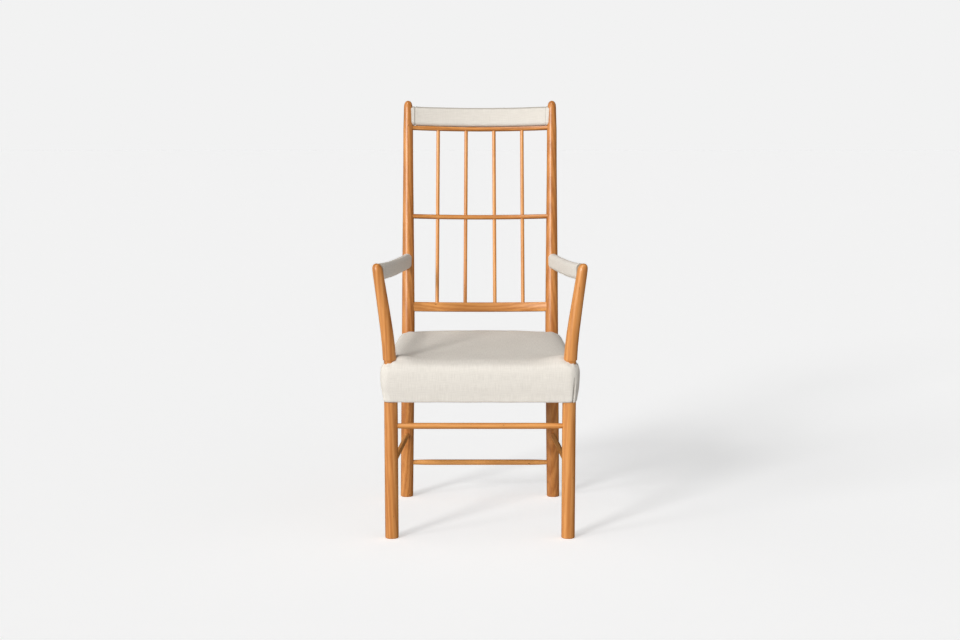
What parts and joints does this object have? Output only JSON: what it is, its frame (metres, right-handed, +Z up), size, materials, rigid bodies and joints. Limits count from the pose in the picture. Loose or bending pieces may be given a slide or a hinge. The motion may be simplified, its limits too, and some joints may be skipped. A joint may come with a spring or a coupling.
{
  "type": "armchair",
  "caption": "High-back wooden armchair with a spindle back, bowed rails, turned stretchers, wrapped arms and headrest, and a stuffed-over fabric seat.",
  "frame": {"origin": "on the floor, under the middle of the chair's bounding box", "axes": "+Z up; the chair faces -Y; +X to the right as seen from the front"},
  "size_m": [0.5208, 0.5912, 1.08],
  "materials": {
    "wood": "satin oil over straight-grained cherry",
    "hidden_wood": "planed, unfinished",
    "linen": "plain-weave linen",
    "wadding": "soft fibre wadding",
    "foam": "cut foam",
    "jute": "coarse jute weave",
    "dust_cloth": "thin bonded cloth",
    "steel": "plain zinc-plated"
  },
  "bodies": {
    "root": {"front_leg_left": "wood", "rear_post_left": "wood", "front_leg_right": "wood", "rear_post_right": "wood", "front_stretcher": "wood", "rear_stretcher": "wood", "left_stretcher": "wood", "right_stretcher": "wood", "lower_back_rail": "wood", "mid_back_rail": "wood", "upper_back_rail": "wood", "spindle_1": "wood", "spindle_2": "wood", "spindle_3": "wood", "spindle_4": "wood", "headrest_board": "hidden_wood", "headrest_padding": "wadding", "headrest_cover": "linen", "arm_core_left": "hidden_wood", "arm_padding_left": "wadding", "arm_cover_left": "linen", "arm_core_right": "hidden_wood", "arm_padding_right": "wadding", "arm_cover_right": "linen", "seat_rail_front": "hidden_wood", "seat_rail_rear": "hidden_wood", "seat_rail_left": "hidden_wood", "seat_rail_right": "hidden_wood", "corner_block_front_left": "hidden_wood", "corner_block_front_right": "hidden_wood", "corner_block_rear_left": "hidden_wood", "corner_block_rear_right": "hidden_wood", "corner_screw_1": "steel", "corner_screw_2": "steel", "corner_screw_3": "steel", "corner_screw_4": "steel", "corner_screw_5": "steel", "corner_screw_6": "steel", "corner_screw_7": "steel", "corner_screw_8": "steel", "webbing_lengthwise_1": "jute", "webbing_lengthwise_2": "jute", "webbing_lengthwise_3": "jute", "webbing_lengthwise_4": "jute", "webbing_crosswise_1": "jute", "webbing_crosswise_2": "jute", "webbing_crosswise_3": "jute", "webbing_crosswise_4": "jute", "seat_hessian": "jute", "seat_foam": "foam", "seat_wadding": "wadding", "seat_cover": "linen", "seat_dust_cover": "dust_cloth"}
  },
  "joints": []
}
